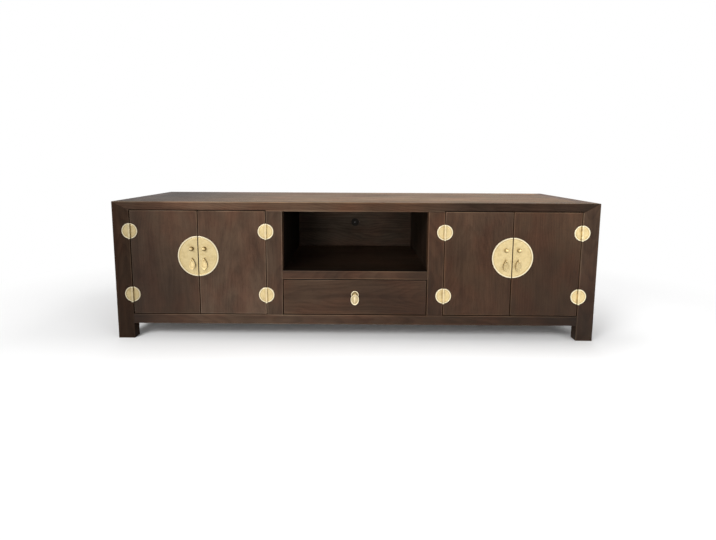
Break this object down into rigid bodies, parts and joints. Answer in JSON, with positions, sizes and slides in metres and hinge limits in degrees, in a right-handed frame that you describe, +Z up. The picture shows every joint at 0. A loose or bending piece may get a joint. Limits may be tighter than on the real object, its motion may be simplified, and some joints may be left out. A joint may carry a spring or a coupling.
{
  "type": "tv cabinet",
  "caption": "Long low television cabinet with hinged door pairs, an open niche above a drawer, and round brass hinges, split lock plates and swinging drop pulls.",
  "frame": {"origin": "on the floor, under the middle of the whole box, which runs from the lock studs' tips to the back of the back posts", "axes": "+X to the right seen from the front, +Y from front to back, +Z up; the doors face -Y"},
  "size_m": [1.8, 0.466, 0.524],
  "materials": {
    "stained_wood": "dark walnut stain, satin lacquer",
    "inner_wood": "dark stain, matt",
    "pale_brass": "pale gold, satin"
  },
  "bodies": {
    "carcass": {"front_left_post": "stained_wood", "front_right_post": "stained_wood", "back_left_post": "stained_wood", "back_right_post": "stained_wood", "top_front_rail": "stained_wood", "top_back_rail": "stained_wood", "top_left_rail": "stained_wood", "top_right_rail": "stained_wood", "top_panel": "stained_wood", "bottom_front_rail": "stained_wood", "bottom_back_rail": "stained_wood", "bottom_left_rail": "stained_wood", "bottom_right_rail": "stained_wood", "left_stile": "stained_wood", "right_stile": "stained_wood", "middle_rail": "stained_wood", "left_side_panel": "stained_wood", "right_side_panel": "stained_wood", "niche_shelf": "stained_wood", "left_top_batten": "inner_wood", "right_top_batten": "inner_wood", "back_panel": "inner_wood", "bottom_board": "inner_wood", "left_partition": "inner_wood", "right_partition": "inner_wood", "left_outer_upper_frame_leaf": "pale_brass", "left_outer_lower_frame_leaf": "pale_brass", "left_inner_upper_frame_leaf": "pale_brass", "left_inner_lower_frame_leaf": "pale_brass", "right_outer_upper_frame_leaf": "pale_brass", "right_outer_lower_frame_leaf": "pale_brass", "right_inner_upper_frame_leaf": "pale_brass", "right_inner_lower_frame_leaf": "pale_brass"},
    "left_outer_door": {"left_outer_door": "stained_wood", "left_outer_upper_door_leaf": "pale_brass", "left_outer_lower_door_leaf": "pale_brass", "left_outer_lock_plate": "pale_brass"},
    "left_outer_pull": {"left_outer_door_pull": "pale_brass"},
    "left_inner_door": {"left_inner_door": "stained_wood", "left_inner_upper_door_leaf": "pale_brass", "left_inner_lower_door_leaf": "pale_brass", "left_inner_lock_plate": "pale_brass"},
    "left_inner_pull": {"left_inner_door_pull": "pale_brass"},
    "right_outer_door": {"right_outer_door": "stained_wood", "right_outer_upper_door_leaf": "pale_brass", "right_outer_lower_door_leaf": "pale_brass", "right_outer_lock_plate": "pale_brass"},
    "right_outer_pull": {"right_outer_door_pull": "pale_brass"},
    "right_inner_door": {"right_inner_door": "stained_wood", "right_inner_upper_door_leaf": "pale_brass", "right_inner_lower_door_leaf": "pale_brass", "right_inner_lock_plate": "pale_brass"},
    "right_inner_pull": {"right_inner_door_pull": "pale_brass"},
    "drawer": {"drawer_front": "stained_wood", "drawer_left_side": "inner_wood", "drawer_right_side": "inner_wood", "drawer_back": "inner_wood", "drawer_bottom": "inner_wood", "drawer_pull_plate": "pale_brass"},
    "drawer_pull": {"drawer_pull_drop": "pale_brass"}
  },
  "joints": [
    {"name": "left_outer_door_hinge", "type": "hinge", "parent": "carcass", "child": "left_outer_door", "pos_m": [-0.8365, -0.2215, 0.292], "axis": [0, 0, -1], "range_deg": [0, 170]},
    {"name": "left_outer_pull_swing", "type": "hinge", "parent": "left_outer_door", "child": "left_outer_pull", "pos_m": [-0.6065, -0.2228, 0.308], "axis": [-1, 0, 0], "range_deg": [0, 120]},
    {"name": "left_inner_door_hinge", "type": "hinge", "parent": "carcass", "child": "left_inner_door", "pos_m": [-0.3315, -0.2215, 0.292], "axis": [0, 0, 1], "range_deg": [0, 100]},
    {"name": "left_inner_pull_swing", "type": "hinge", "parent": "left_inner_door", "child": "left_inner_pull", "pos_m": [-0.5615, -0.2228, 0.308], "axis": [-1, 0, 0], "range_deg": [0, 120]},
    {"name": "right_outer_door_hinge", "type": "hinge", "parent": "carcass", "child": "right_outer_door", "pos_m": [0.8365, -0.2215, 0.292], "axis": [0, 0, 1], "range_deg": [0, 170]},
    {"name": "right_outer_pull_swing", "type": "hinge", "parent": "right_outer_door", "child": "right_outer_pull", "pos_m": [0.6065, -0.2228, 0.308], "axis": [-1, 0, 0], "range_deg": [0, 120]},
    {"name": "right_inner_door_hinge", "type": "hinge", "parent": "carcass", "child": "right_inner_door", "pos_m": [0.3315, -0.2215, 0.292], "axis": [0, 0, -1], "range_deg": [0, 100]},
    {"name": "right_inner_pull_swing", "type": "hinge", "parent": "right_inner_door", "child": "right_inner_pull", "pos_m": [0.5615, -0.2228, 0.308], "axis": [-1, 0, 0], "range_deg": [0, 120]},
    {"name": "drawer_slide", "type": "slide", "parent": "carcass", "child": "drawer", "axis": [0, -1, 0], "range_m": [0, 0.28]},
    {"name": "drawer_pull_swing", "type": "hinge", "parent": "drawer", "child": "drawer_pull", "pos_m": [0, -0.2228, 0.1755], "axis": [-1, 0, 0], "range_deg": [0, 120]}
  ]
}
